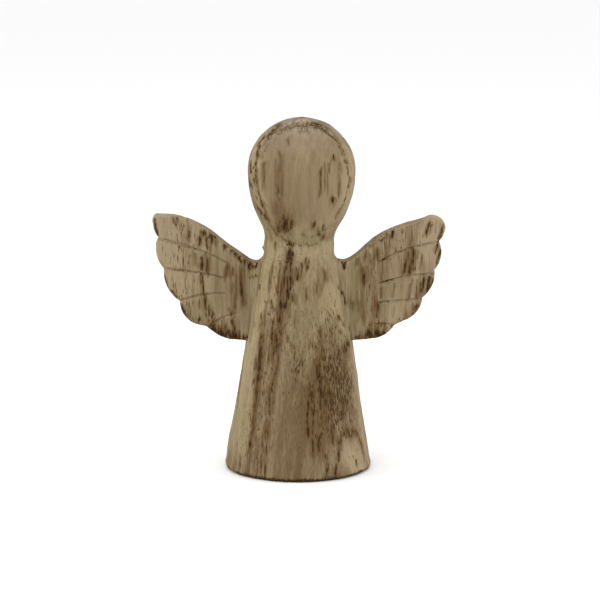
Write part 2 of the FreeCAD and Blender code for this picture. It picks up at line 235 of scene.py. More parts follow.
def ring_reach(tree, around, height, rise):
    """How far the surface is from the axis, for each angle of one ring.

    Away from the front the figure is turned, so one ray straight back stands for all of it and the mortises
    count as filled.
    """
    start = Vector((0.0, 0.0, height * MM))
    level, up = math.cos(rise), math.sin(rise)
    back = tree.ray_cast(start, Vector((0.0, level, up)))[3]
    reach = []
    for angle in around:
        at_front = abs(math.remainder(angle - math.pi, 2.0 * math.pi)) < FRONT_ARC
        way = Vector((math.sin(angle) * level, math.cos(angle) * level, up))
        reach.append(tree.ray_cast(start, way)[3] if at_front else back)
    return reach


def soften_chin(reach, rows):
    """Rounds the ledge under the face, as sanding does, by averaging each column near it."""
    heights = np.array([height for height, _ in rows])
    share = bump_at(heights, CHIN, SANDED_HALF)[:, None]
    for _ in range(SANDING_PASSES):
        mean = (np.roll(reach, 1, axis=0) + reach + np.roll(reach, -1, axis=0)) / 3.0
        reach = reach + (mean - reach) * share
    return reach


def figure_mesh():
    """Rings of points on the CAD figure, closer together on the front."""
    tree = tree_of("figure")
    around = np.linspace(0.0, 2.0 * math.pi, COLUMNS, endpoint=False)
    around = around + CROWDING * np.sin(around)
    rows = figure_rows()
    reach = soften_chin(np.array([ring_reach(tree, around, *row) for row in rows]), rows)
    vertices = []
    for (height, rise), ring in zip(rows, reach):
        flat = ring * math.cos(rise)
        level = np.full(COLUMNS, height * MM) + ring * math.sin(rise)
        vertices.append(np.column_stack([np.sin(around) * flat, np.cos(around) * flat, level]))
    hem, crown = vertices[0], vertices[-1]
    faces = []
    for row in range(len(rows) - 1):
        faces += band(row * COLUMNS, (row + 1) * COLUMNS, False)
    faces += fan((len(rows) - 1) * COLUMNS, len(rows) * COLUMNS, False)
    vertices.append([crown.mean(axis=0) + (0.0, 0.0, CROWN_LIFT * MM)])
    outer, inner = 0, len(rows) * COLUMNS + 1
    for share in UNDERSIDE_RINGS:
        vertices.append(hem * (share, share, 1.0))
        faces += band(outer, inner, True)
        outer, inner = inner, inner + COLUMNS
    vertices.append([[0.0, 0.0, hem[0][2]]])
    faces += fan(outer, inner, True)
    return mesh_object("figure_carving", np.vstack(vertices), faces)


def band(first, second, downward):
    """Four-sided faces from one ring of points to the next."""
    faces = []
    for column in range(COLUMNS):
        beside = (column + 1) % COLUMNS
        face = (first + column, second + column, second + beside, first + beside)
        faces.append(face[::-1] if downward else face)
    return faces


def fan(ring, middle, downward):
    """Triangles from one ring of points to a middle point."""
    pairs = [(ring + column, ring + (column + 1) % COLUMNS) for column in range(COLUMNS)]
    return [(b, middle, a) if downward else (a, middle, b) for a, b in pairs]


# ---------------------------------------------------------------- the figure's carving

# The face's edge, cut round with a V tool: places across and up, from the top down each side.
LEFT_HAIRLINE = [
    (0, 179.9), (-5, 179.5), (-9.5, 177.6), (-15, 175), (-18.3, 171.3), (-20.7, 168), (-22.3, 164.2),
    (-23.2, 160), (-23.4, 155), (-22.9, 149.5), (-21.3, 144.3), (-18.8, 137.5), (-15.8, 129.7),
    (-12.7, 124.6), (-8.8, 121.6), (-4.5, 120.2),
]
RIGHT_HAIRLINE = [
    (0, 179.9), (5, 179.5), (11.5, 177), (16.5, 173.1), (19.7, 168), (22, 162), (23.6, 156.5),
    (24.2, 149), (22.4, 142), (20, 137.2), (17.5, 132),
]
INNER_CUT = [(-10, 176), (-13, 174), (-16.3, 170.3), (-18.5, 166.8), (-20.3, 162.5), (-21.3, 157)]
LEFT_CUT_HALF = 1.4
RIGHT_CUT_HALF = 1.1
INNER_CUT_HALF = 0.8
HAND_SHAKE = 0.35
RIM_MIDDLE = 152.0
RIM_RADIUS = 24.32
# How far to +X the real piece leans, by height.
LEAN = ((0, -0.6), (50, -0.3), (105, -0.2), (118, -0.1), (132, 0.9), (182, 1.0))


def gown_angle(points):
    """Degrees round from the front, positive to +X."""
    return np.degrees(np.arctan2(points[:, 0], -points[:, 1]))


def hairline_cut(points):
    """How deep the V tool went, from 0 to 1, and its second, lighter pass inside the left edge."""
    across = points[:, 0] + HAND_SHAKE * noise(points, 3.0, 31)
    height = points[:, 2] + HAND_SHAKE * noise(points, 3.0, 32)
    left = path_distance(across, height, LEFT_HAIRLINE)
    right = path_distance(across, height, RIGHT_HAIRLINE)
    inner = path_distance(across, height, INNER_CUT)
    chatter = 0.75 + 0.35 * noise(points, (1.6, 1.6, 1.6), 33)
    front = ramp(-points[:, 1], 5.0, 9.0)
    fading = 1.0 - 0.7 * bump_at(points[:, 2], RIM_MIDDLE + 0.5, 2.5)
    main = np.maximum(1.0 - left / LEFT_CUT_HALF, (1.0 - right / RIGHT_CUT_HALF) * fading)
    main = np.clip(main, 0.0, 1.0) * chatter * front
    broken = ramp(noise(points, 2.2, 34), -0.3, 0.4)
    second = np.clip(1.0 - inner / INNER_CUT_HALF, 0.0, 1.0) * broken * front
    return main, second


def face_lip(points):
    """The raised lip just inside the cut on the face's left side, which the tone paints paler as a painted
    highlight where it catches the light.
    """
    distance = path_distance(points[:, 0], points[:, 2], LEFT_HAIRLINE)
    return bump_at(distance, 2.3, 0.7) * bump_at(points[:, 2], RIM_MIDDLE - 2.0, 18.0)


def rim_scratches(points):
    """Tool scratches that run round beside the cut: how dark and deep they are, from 0 to 1."""
    x, z = points[:, 0], points[:, 2] - RIM_MIDDLE
    path = [(px, pz - RIM_MIDDLE) for px, pz in LEFT_HAIRLINE[::-1] + RIGHT_HAIRLINE[1:]]
    turns, reaches = zip(*sorted((math.atan2(px, pz), math.hypot(px, pz)) for px, pz in path))
    turn = np.arctan2(x, z)
    outside = np.hypot(x, z) - np.interp(turn, turns, reaches, period=2.0 * math.pi)
    round_rim = np.column_stack([outside, np.zeros(len(x)), turn * RIM_RADIUS])
    rough = noise(round_rim, (0.85, 1.0, 3.2), 36) + 0.35 * noise(round_rim, (0.6, 1.0, 1.3), 37)
    left = bump_at(outside, 1.8, 3.4) * ramp(-turn, 0.1, 0.6) * (1.0 - ramp(-turn, 2.45, 2.75))
    right = 0.8 * bump_at(outside, 0.3, 1.2) * ramp(turn, 0.0, 0.5) * (1.0 - ramp(turn, 2.2, 2.5))
    top = 0.5 * bump_at(outside, -0.8, 1.0) * bump_at(turn, 0.0, 0.5)
    on_rim = np.max([left, right, top], axis=0)
    return ramp(rough, -0.1, 0.55) * on_rim * ramp(-points[:, 1], 0.0, 4.0)


def lean_of(height):
    """How far a point at this height is shifted to +X."""
    heights, shifts = zip(*LEAN)
    return np.interp(height, heights, shifts)


def root_painted_light(points):
    """1 where gown and wing run into each other with no visible seam, high at the wings' roots; the tone
    there is painted paler, as painted light that lifts the shade of the joint.
    """
    return bump_at(np.abs(points[:, 0]), 22.0, 4.0) * bump_at(points[:, 2], 100.0, 9.0)


# Where the gown's sides were cut away (-) or stand proud (+): height, half height, amount.
SIDE_SWELLS = [(111.0, 2.5, -1.3), (114.5, 3.0, -0.4), (117.0, 2.0, 0.35), (2.0, 1.8, 0.5)]
# A splinter at the left shoulder and a broad swelling above the hem: middle, half sizes, amount.
GOWN_LUMPS = [(-90.0, 114.8, 2.5, 0.9, 1.2), (-88.0, 14.0, 40.0, 11.0, 0.9)]
CUT_DEPTH = 0.8
SECOND_CUT_DEPTH = 0.35
SCRATCH_DEPTH = 0.4
LIP_HEIGHT = 0.4
GOWN_STREAK_DEPTH = 0.22
HEAD_STREAK_DEPTH = 0.3
CHIN_ROUGHNESS = 0.3
LOWEST = 0.02


def tool_marks(points, planed):
    """Facets left by the knife and brushed grain, both fainter where the face was planed."""
    facets = 0.28 * noise(points, (8.0, 8.0, 17.0), 21) + 0.12 * noise(points, (3.5, 3.5, 8.0), 22)
    grain = 0.09 * noise(points, (1.3, 1.3, 16.0), 23) + 0.06 * noise(points, (1.2, 1.2, 4.0), 24)
    return facets * (1.0 - 0.6 * planed) + grain * (1.0 - 0.55 * planed)


def carve_figure(piece):
    """Tool facets, brushed grain, the cut round the face, and the slight lean of the real piece."""
    mesh = piece.data
    points = points_of(mesh)
    normals = normals_of(mesh)
    x, y, z = points.T
    angle = gown_angle(points)
    main, second = hairline_cut(points)
    planed = ramp(-y, 8.0, 12.0) * ramp(z, CHIN + 1.0, CHIN + 3.0) * ramp(-normals[:, 1], 0.75, 0.9)
    chin = bump_at(z, CHIN - 1.0, 4.0) * ramp(-y, 0.0, 8.0)
    gown_marks, _ = streak_field(points, angle, z, gown_unit(points), GOWN_STREAKS)
    head_marks, _ = streak_field(points, x, z, 1.0, HEAD_STREAKS)
    sideways = ramp(np.abs(np.sin(np.radians(angle))), 0.55, 0.9)

    move = tool_marks(points, planed)
    move += CHIN_ROUGHNESS * chin * noise(points, (2.2, 2.2, 2.0), 25)
    move -= CUT_DEPTH * main + SECOND_CUT_DEPTH * second
    move -= SCRATCH_DEPTH * rim_scratches(points)
    move += LIP_HEIGHT * face_lip(points) * planed
    move -= GOWN_STREAK_DEPTH * gown_marks * (z < CHIN - 1.0)
    move -= HEAD_STREAK_DEPTH * head_marks * planed
    for height, half, amount in SIDE_SWELLS:
        move += amount * sideways * bump_at(z, height, half)
    move += patch_field(angle, z, GOWN_LUMPS)
    move *= ramp(z, 0.1, 1.2)

    points = points + normals * move[:, None]
    points[:, 0] += lean_of(z)
    points[:, 2] = np.maximum(points[:, 2], LOWEST)
    move_points(mesh, points)


# ---------------------------------------------------------------- the figure's marks

# Singed streaks on the gown and neck, with painted shadow along the chin: (angle, height) at each end, half
# width, darkness.
GOWN_STREAKS = [
    # the dark band left of the middle, neck to hem
    (-16, 115.5, -12, 112.5, 1.9, 0.55), (-18, 114.5, -18.5, 108, 0.8, 0.8),
    (-12, 112, -11.5, 98, 0.7, 0.9), (-16, 104, -14, 94, 0.6, 0.65), (-20.5, 108, -20, 97, 0.7, 0.8),
    (-21, 97, -19, 90, 0.6, 0.6), (-24, 102, -23, 86, 0.6, 0.7), (-28, 111, -28, 93, 0.6, 0.5),
    (-29, 99, -28.5, 95, 0.8, 0.7), (-15, 95, -16, 90, 1.3, 0.8), (-17, 90, -19, 87, 0.9, 0.8),
    (-22, 89, -23, 84, 1.3, 0.9), (-23, 84, -24, 76, 1.0, 0.8), (-20, 84, -20.5, 70, 0.6, 0.6),
    (-25.5, 77, -25, 66, 0.8, 0.9), (-28, 76, -27.5, 60, 0.55, 0.75), (-22.5, 69, -23, 55, 0.7, 0.8),
    (-30, 72, -29.5, 62, 0.4, 0.6), (-32.5, 81, -31.5, 71, 0.7, 0.9), (-33.5, 72, -33, 58, 0.5, 0.6),
    (-36, 60, -36, 44, 0.4, 0.4), (-24, 55, -26.5, 50, 0.9, 0.7), (-26.5, 51, -27, 46, 1.1, 0.85),
    (-29, 49, -28.5, 40, 0.8, 0.75), (-27.5, 40, -27.5, 35, 0.9, 0.75), (-33.5, 48, -33, 42, 0.8, 0.5),
    (-24.5, 46, -24, 36, 0.5, 0.45), (-30, 30, -30, 21, 0.8, 0.55), (-27.5, 30, -27.5, 4, 0.7, 0.65),
    (-32.5, 21, -31, 17, 1.1, 0.6), (-36, 17, -36, 10, 0.8, 0.6), (-35, 10, -35, 2, 0.7, 0.5),
    (-31.5, 13, -31, 2, 0.8, 0.6),
    # the band down the left flank
    (-50, 83, -51, 75, 1.6, 0.42), (-45, 86, -43, 74, 0.6, 0.45), (-47, 73, -45.5, 62, 1.3, 0.8),
    (-43, 73, -42, 60, 0.6, 0.7), (-44.5, 64, -44, 50, 1.5, 0.92), (-51, 60, -50, 56, 1.2, 0.7),
    (-49.5, 49, -49.5, 47, 1.1, 0.8), (-44, 50, -45, 43, 1.1, 0.85), (-45, 43, -44, 35, 1.0, 0.85),
    (-42.5, 46, -42, 36, 0.5, 0.55), (-45.5, 36, -45, 27, 0.7, 0.8), (-43, 34, -42.5, 23, 0.6, 0.75),
    (-44, 25, -44, 17, 1.0, 0.8), (-46, 18, -45.5, 2, 0.6, 0.5), (-43, 17, -43, 2, 0.6, 0.5),
    (-39.5, 21, -39.5, 19, 0.7, 0.7), (-53, 31, -51, 30, 0.9, 0.4), (-62, 16, -61, 10, 0.6, 0.35),
    (-61, 8, -62, 2, 0.8, 0.45), (-54, 9, -53.5, 4, 0.8, 0.45), (-44, 104, -43, 96, 1.0, 0.4),
    (-44, 119, -44, 116.5, 0.9, 0.55), (-41, 110, -40, 104, 0.5, 0.45), (-38, 90.5, -35, 89, 0.7, 0.75),
    (-48, 89.5, -43, 89, 0.5, 0.6), (-36, 87, -31, 86.5, 0.5, 0.55), (-40, 83.5, -37, 83, 0.5, 0.65),
    (-45, 87, -44, 84, 0.5, 0.5),
    # fine strokes beside it
    (-9, 106, -8.5, 100, 0.5, 0.6), (-2.5, 107, -2.5, 103, 0.9, 0.9), (-8, 102, -8, 100, 0.6, 0.6),
    (-12, 90, -11.5, 84, 0.6, 0.35), (-12, 74, -12.5, 70, 0.6, 0.5), (-5, 85, -5, 78, 0.6, 0.35),
    (-8, 69, -8, 65, 0.6, 0.4),
    # strokes right of the middle
    (3, 50, 3, 25, 0.6, 0.35), (8.7, 48, 8, 34, 1.1, 0.8), (8, 36, 8, 23, 1.2, 0.9),
    (12, 47, 11.5, 40, 1.4, 0.85), (10.5, 50, 10, 24, 0.4, 0.55), (14.5, 52, 14, 30, 0.4, 0.55),
    (5.5, 44, 5.5, 20, 0.4, 0.4), (17, 34, 16, 14, 0.5, 0.55), (26, 40, 25, 26, 0.6, 0.6),
    (22, 24, 20, 12, 0.5, 0.5), (12.5, 36, 12, 15, 1.0, 0.75), (19, 24, 17, 16, 1.3, 0.95),
    (15, 23, 16, 20, 0.8, 0.8), (22, 50, 20, 28, 1.1, 0.9), (20, 60, 19, 52, 1.4, 0.9),
    (25, 46, 24, 30, 0.8, 0.5), (31, 44, 32, 36, 1.4, 0.75), (30, 30, 29, 20, 1.4, 0.6),
    (38, 20, 34, 10, 1.0, 0.8), (24, 8, 22, 2, 1.0, 0.8), (23, 14, 22.5, 11, 1.0, 0.7),
    (31, 8, 30, 2, 1.2, 0.7), (28, 49, 28, 45, 1.0, 0.6), (45, 37, 45, 33, 1.1, 0.8),
    (40, 54, 40, 50, 1.1, 0.8), (47, 66, 47, 62, 1.2, 0.6), (63, 49, 63, 45, 1.0, 0.8),
    (54, 6, 54, 4, 0.9, 0.8),
    # the arch over the smooth wood at the lower right
    (38, 20, 47, 23, 1.5, 0.65), (47, 23, 60, 22, 1.9, 0.65), (60, 22, 66, 14, 1.5, 0.65),
    (66, 14, 68, 8, 1.2, 0.6),
    # knots of soot on the right flank
    (60, 65, 68, 66, 2.2, 1.0), (53, 58, 53, 56, 1.6, 0.6), (48, 51, 48, 49, 1.2, 0.7),
    (50, 80, 57, 80, 2.2, 0.5),
    # small ticks higher up
    (37, 105, 37, 102, 1.2, 0.7), (24, 99.5, 24, 97, 1.5, 0.6), (10, 112, 9.5, 107.5, 0.8, 0.5),
    (14, 112, 12, 108, 0.6, 0.45), (3.5, 110, 3.5, 105, 1.0, 0.6), (10, 97, 10, 93, 1.0, 0.5),
    (-7, 94, -7, 90.5, 1.0, 1.0), (25, 77, 25, 73, 1.3, 0.6), (15, 69, 22, 69, 1.9, 0.55),
    (24, 66, 24, 62, 1.3, 0.6),
    # dark lines along the chin: nicks, and painted shadow under the chin's ledge
    (-20, 120, -9, 120, 0.9, 1.0), (-3, 120, 2, 120, 0.6, 0.5), (10, 119, 33, 119, 0.6, 0.45),
]

# Streaks on the head and face, with distances across from the head's middle in place of angles.
HEAD_STREAKS = [
    (9.8, 158, 9.4, 145, 0.6, 0.62), (13.4, 160.5, 15.4, 162.5, 0.5, 0.5),
    (14, 160, 13.8, 156.5, 0.6, 0.5), (11.8, 161, 11.8, 147, 0.35, 0.4),
    (13.2, 157, 13.2, 144, 0.35, 0.4), (19.3, 161, 19.2, 145, 0.9, 0.45),
    (16, 163.5, 16.4, 162, 0.7, 0.6), (15, 143, 17.4, 143, 0.7, 0.7),
    (16.2, 142.5, 16, 140.6, 1.0, 0.75), (-11.5, 160, -11.8, 147, 0.5, 0.4),
    (-12, 150, -11.6, 147, 0.7, 0.55), (-10, 165, -9.6, 145, 0.5, 0.35),
    (-19, 161, -19, 148, 1.2, 0.32), (-13, 163, -13, 150, 0.4, 0.35), (-11, 167, -10.6, 158, 0.4, 0.4),
    (-12.6, 146, -11, 143, 0.5, 0.45), (-7, 172.5, -7, 171, 0.8, 0.4), (-12, 140, -12, 136, 1.6, 0.4),
    (-8.3, 132.5, -8, 127, 2.6, 0.68), (-11, 130, -11, 126, 1.4, 0.6), (-5, 131, -6, 126, 1.3, 0.6),
    (6.5, 130, 6.5, 128, 1.0, 0.7), (9, 126, 9.5, 124, 1.1, 0.7), (11.5, 127.5, 12, 126.5, 0.8, 0.7),
    (11.5, 123.5, 12, 122, 0.9, 0.7), (2, 126, 2, 124, 0.8, 0.4), (6, 179.6, 15, 177.6, 1.5, 0.6),
    (-11, 177.6, -4, 179, 1.2, 0.45), (-4, 179.6, 6, 179.6, 1.2, 0.4), (-1, 177, 3, 176.5, 1.1, 0.4),
]

# Where the wood is browner (+) or paler (-): middle, half sizes, amount. Every paler patch more than 55
# degrees round from the front is painted highlight, where light from the sides falls on the flanks, the
# left shoulder and the right of the neck.
GOWN_TONE = [
    (-2, 22, 26, 26, 0.42), (13, 42, 20, 26, 0.52), (36, 40, 24, 22, 0.42),
    (-38, 40, 16, 50, 0.2), (-18, 97, 8, 22, 0.4), (-25, 68, 6, 18, 0.3),
    (-46, 60, 5, 24, 0.3), (5, 95, 12, 20, 0.12), (-63, 74, 7, 12, -0.5),
    (-90, 50, 30, 60, -0.35), (-80, 80, 10, 14, -0.3), (-70, 5, 25, 6, 0.3),
    (88, 60, 25, 60, -0.2), (62, 90, 13, 20, -0.45), (-67, 71, 8, 13, -0.3),
    (58, 117, 18, 5, -0.35), (-62, 112, 20, 8, -0.35), (50, 9, 13, 11, -0.55),
    (20, 90, 30, 18, 0.12), (0, 116, 70, 5, -0.25),
]
# Where fine dark lines run close together.
STRIPED = [(-24, 95, 16, 30, 0.15), (-36, 45, 14, 40, 0.15), (-60, 8, 22, 10, 0.3)]
# On the head, placed by distance across. The paler patches at the crown and along both sides of the head
# are painted highlight where light from above and from the sides falls; the browner ones make the face
# darker in its middle and lower part.
HEAD_TONE = [
    (0, 150, 18, 18, 0.3), (0, 186, 28, 7, -0.9), (-26, 165, 5, 14, -0.25),
    (-6, 134, 14, 8, 0.3), (23.5, 150, 3, 14, -0.35), (-24, 163, 3, 12, -0.2),
    (16, 170, 7, 7, 0.08),
]
# Where open pores show as dark specks.
SPECKLE = [
    (40, 46, 28, 24, 0.9), (-2, 58, 7, 9, 0.4), (38, 80, 30, 10, 0.25),
    (-26, 88, 16, 36, 0.3), (-42, 35, 14, 36, 0.35),
]
# Soot that lies in soft patches: middle, half sizes, amount.
GOWN_SOOT = [(-13.5, 114, 5, 3.2, 0.68), (-17, 97, 5, 10, 0.14), (-45, 57, 3, 10, 0.2)]
HEAD_SOOT = [(-8, 129.5, 3.2, 3.2, 0.25), (-11.5, 128, 2.5, 2.5, 0.15), (5, 179.5, 9, 1.2, 0.2)]


# Where the gown's tone is even, and the rubbed rim of the hair: middle, half sizes, amount.
EVEN_WOOD = [(-6, 22, 16, 32, 1.0)]
HAIR_RIM = [(-25.5, 152, 3.2, 18, 1.0)]
RING_STEP = 9.2


def gown_unit(points):
    """One degree round the gown, in millimetres."""
    return np.radians(1.0) * np.hypot(points[:, 0], points[:, 1])


def figure_zones(points):
    """How much of the gown, of the front and of the back each point belongs to, from 0 to 1."""
    on_gown = 1.0 - ramp(points[:, 2], CHIN - 0.5, CHIN + 1.0)
    front = ramp(-points[:, 1], 2.0, 8.0)
    away = 1.0 - ramp(-points[:, 1], -4.0, 12.0)
    return on_gown, front, away


def figure_patches(points, gown_patches, head_patches):
    """Patches on the gown, placed by angle, and on the front of the head, placed by distance across."""
    on_gown, front, _ = figure_zones(points)
    gown = patch_field(gown_angle(points), points[:, 2], gown_patches)
    head = patch_field(points[:, 0], points[:, 2], head_patches)
    return gown * on_gown + head * (1.0 - on_gown) * front


def figure_streaks(points):
    """(core, halo) of every streak on the gown and on the front of the head."""
    on_gown, front, _ = figure_zones(points)
    gown = streak_field(points, gown_angle(points), points[:, 2], gown_unit(points), GOWN_STREAKS)
    head = streak_field(points, points[:, 0], points[:, 2], 1.0, HEAD_STREAKS)
    return [below * on_gown + above * front * (1.0 - on_gown) for below, above in zip(gown, head)]


def ring_depth(points):
    """How far a point lies across the tree's rings, which stand upright from left-front to right-back."""
    wander = 1.6 * noise(points, (40.0, 40.0, 110.0), 41) + 0.5 * noise(points, (14.0, 14.0, 40.0), 42)
    return (points[:, 0] - points[:, 1]) * math.sqrt(0.5) + wander


def ring_comb(points, depth):
    """Upright lines along the rings: fine where a ring runs into the surface, broad where it lies in it."""
    across = np.column_stack([depth, np.zeros(len(points)), points[:, 2]])
    return 0.6 * noise(across, (0.8, 1.0, 34.0), 46) + 0.5 * noise(across, (2.2, 1.0, 50.0), 47)


def ring_soot(points, depth):
    """Soot caught in the open wood of each ring, broken along its length."""
    from_ring = np.abs(np.mod(depth + RING_STEP / 2.0, RING_STEP) - RING_STEP / 2.0)
    open_wood = 1.0 - ramp(from_ring + 0.5 * noise(points, (1.0, 1.0, 9.0), 43), 0.7, 2.4)
    rough = noise(points, (6.0, 6.0, 26.0), 44) + 0.4 * noise(points, (1.4, 1.4, 10.0), 45)
    return open_wood * ramp(rough, -0.15, 0.75)


def cut_soot(points):
    """Soot left in the cut round the face, patchy along its length."""
    main, second = hairline_cut(points)
    patchy = ramp(noise(points, (0.9, 0.9, 1.4), 51), -0.4, 0.6)
    return (0.22 + 0.45 * patchy) * np.maximum(ramp(main, 0.15, 0.7), 0.8 * ramp(second, 0.1, 0.6))


def comb_soot(points, comb):
    """Fine sooty lines, strongest at the back."""
    on_gown, _, away = figure_zones(points)
    lines = ramp(comb, 0.1, 0.75) * ramp(noise(points, (5.0, 5.0, 16.0), 48), -0.5, 0.6)
    striped = 0.15 + patch_field(gown_angle(points), points[:, 2], STRIPED) + 0.35 * away
    return lines * striped * np.maximum(on_gown, away)


def chin_soot(points):
    """Short upright nicks along the chin."""
    nicks = ramp(noise(points, (1.0, 1.0, 2.4), 58), 0.25, 0.8)
    return 0.5 * nicks * bump_at(points[:, 2], CHIN + 2.0, 4.5) * ramp(-points[:, 1], 2.0, 8.0)


def hem_soot(points):
    """The scorched hem, darkest at two places on the front."""
    angle = gown_angle(points)
    hem = 1.0 - ramp(points[:, 2] + 0.7 * noise(points, (1.6, 1.6, 1.0), 52), 1.0, 2.8)
    burnt = 0.95 + 0.3 * bump_at(angle, -40.0, 25.0) + 0.3 * bump_at(angle, 25.0, 14.0)
    return hem * np.clip(burnt, 0.0, 1.0)


def figure_soot_and_shade(points, core, halo, rings, comb):
    """Soot from every cause, and the painted shadow along the chin; at each point the darkest one counts.
    """
    on_gown, _, away = figure_zones(points)
    layers = [
        np.maximum(core, 0.22 * halo) + figure_patches(points, GOWN_SOOT, HEAD_SOOT),
        cut_soot(points),
        0.75 * rim_scratches(points),
        rings * (0.16 * on_gown + 0.6 * away),
        comb_soot(points, comb),
        chin_soot(points),
        hem_soot(points),
    ]
    return np.max(layers, axis=0)


def figure_tone(points, halo, rings, comb):
    """How brown the wood is, from 0 for pale; 1 and more is brown. The paler patches on the flanks, at the
    head's crown and rims, on the face's lip and beside the wings' roots are painted highlight.
    """
    x, y, z = points.T
    angle = gown_angle(points)
    on_gown, front, away = figure_zones(points)
    tone = 0.42 + 0.2 * noise(points, (9.0, 9.0, 30.0), 53)
    tone += comb * (0.12 + 0.2 * on_gown) * (1.0 - 0.6 * patch_field(angle, z, EVEN_WOOD))
    # These patches include painted highlight on the flanks and on the head's crown and rims.
    tone += figure_patches(points, GOWN_TONE, HEAD_TONE)
    tone += 0.3 * rings * np.maximum(on_gown, away) + 0.45 * halo
    tone += 0.15 * patch_field(x, z, HAIR_RIM) * front
    # Painted highlight on the face's raised lip, where it catches the light.
    tone -= 0.35 * face_lip(points) * front * ramp(-y, 10.0, 14.0)
    # Painted highlight: the gown's sides beside the wings' roots are pulled pale, as painted light that
    # lifts the shade of the joint.
    tone += (0.2 - tone) * root_painted_light(points) * ramp(np.abs(angle), 40.0, 60.0)
    return tone


def figure_olive(points):
    """How olive the wood is: below 0, down to -1, it turns grey-blue instead, which at the crown is painted
    light from above.
    """
    angle, z = gown_angle(points), points[:, 2]
    olive = 0.25 + 0.35 * noise(points, (12.0, 12.0, 40.0), 55)
    # Painted light from above: the crown is pushed far below 0, so it turns grey-blue.
    olive -= 2.0 * bump_at(z, 184.0, 12.0) + 0.12 * (1.0 - figure_zones(points)[0])
    olive += 0.5 * bump_at(angle, -90.0, 45.0) + 0.3 * bump_at(angle, -3.0, 12.0)
    olive += 0.5 * bump_at(z, CHIN + 1.0, 7.0)
    return olive


def figure_speckle(points):
    """How freely dark pores show: in the listed places, and at the back where the wood is sawn flat."""
    on_gown, _, away = figure_zones(points)
    flat_sawn = 0.3 + 0.4 * away * ramp(noise(points, (16.0, 16.0, 40.0), 56), -0.1, 0.5)
    listed = patch_field(gown_angle(points), points[:, 2], SPECKLE) * on_gown
    return listed + flat_sawn * (0.25 + 0.75 * np.maximum(on_gown, away))


def paint_figure(piece):
    """Soot, tone, olive tint and speckle, laid on before the carving moves the points."""
    points = points_of(piece.data)
    core, halo = figure_streaks(points)
    depth = ring_depth(points)
    rings, comb = ring_soot(points, depth), ring_comb(points, depth)
    paint_layers(
        piece.data,
        soot_and_shade=figure_soot_and_shade(points, core, halo, rings, comb),
        tone=figure_tone(points, halo, rings, comb),
        olive=figure_olive(points),
        speckle=figure_speckle(points),
    )


figure = figure_mesh()
paint_figure(figure)
carve_figure(figure)
shade_smooth(figure.data)
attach(figure, "root")
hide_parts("figure")


# ---------------------------------------------------------------- the wings

# Streaks on the wings' fronts: (across, height) at each end, half width, darkness.
LEFT_WING_STREAKS = [
    # soot under the top edge, down to the root
    (-34, 114.5, -32.5, 112, 1.2, 1.0), (-32.5, 112, -28.5, 109, 1.0, 0.9),
    (-28.5, 109, -24.6, 105.6, 1.3, 1.0), (-25.5, 101.3, -22, 101, 0.7, 0.7),
    (-37.9, 118.6, -37.7, 116, 0.9, 0.95), (-48.5, 122, -43.5, 122, 1.2, 0.9),
    (-44.5, 121.5, -44, 118.5, 1.1, 0.85), (-50, 123.5, -48, 123, 0.8, 0.6),
    (-47.6, 121, -47.3, 116.5, 0.9, 0.75), (-51.3, 121, -51.2, 117.5, 0.9, 0.7),
    (-50.2, 124, -50.5, 118, 0.5, 0.5), (-45.8, 116.5, -45.8, 114, 0.5, 0.5),
    (-56, 127.5, -56.4, 120, 0.5, 0.5), (-56.2, 125, -56.4, 122.5, 0.7, 0.6),
    (-62.4, 132, -62.8, 128.5, 0.7, 0.7), (-64.4, 130.5, -64.2, 128.5, 0.6, 0.6),
    (-73.8, 129.5, -73.3, 125, 0.8, 0.5), (-73.4, 125, -73, 122.5, 0.8, 1.0),
    # the second feather
    (-47.3, 110, -47, 103.5, 1.4, 0.95), (-50.2, 110, -50.3, 104, 0.7, 0.7),
    (-50.3, 107, -50.2, 106, 0.9, 0.9), (-53.6, 113, -53.4, 108, 0.9, 0.6),
    (-55.6, 112, -55.5, 105, 0.7, 0.35), (-36.8, 105, -37, 100.5, 1.1, 0.85),
    (-34, 104, -34.2, 101, 0.7, 0.6),
    # the third and the long band at the root
    (-50.3, 100.5, -50, 97, 0.9, 0.7), (-49.5, 97, -49.2, 91, 0.7, 0.6), (-64, 96, -63.8, 91, 0.5, 0.4),
    (-29.5, 106, -29.8, 100, 1.5, 0.6), (-32, 102, -32, 90, 0.7, 0.4),
    (-29.8, 100, -29.6, 93, 1.0, 0.68), (-29, 93, -28.6, 86, 0.8, 0.6),
    (-27.3, 104, -27, 86, 0.9, 0.45), (-33.2, 91, -33.2, 84, 0.7, 0.5), (-34, 96, -34.2, 92, 0.6, 0.4),
    # the fourth and fifth
    (-48.4, 88.5, -48.2, 83.5, 1.5, 0.6), (-46.6, 87, -46.2, 81, 0.9, 0.65),
    (-45.4, 84, -44.4, 79.5, 0.7, 0.6), (-51.4, 88, -51, 84, 0.7, 0.5), (-56.6, 86, -56, 81, 0.7, 0.45),
    (-36, 82, -34.5, 81, 0.8, 0.6), (-52, 79, -51, 77.5, 0.9, 0.7), (-47.5, 80, -46.5, 78, 0.9, 0.7),
    (-44.5, 77.5, -43, 76, 0.8, 0.6), (-34.8, 77.5, -33.2, 73, 0.6, 0.8),
    (-33.4, 74, -33.2, 69.5, 0.7, 0.8), (-31, 72.5, -30.8, 69.5, 0.6, 0.6),
    (-41.2, 75, -40, 71.5, 0.8, 0.7), (-38, 75.5, -38, 70, 0.7, 0.5),
]
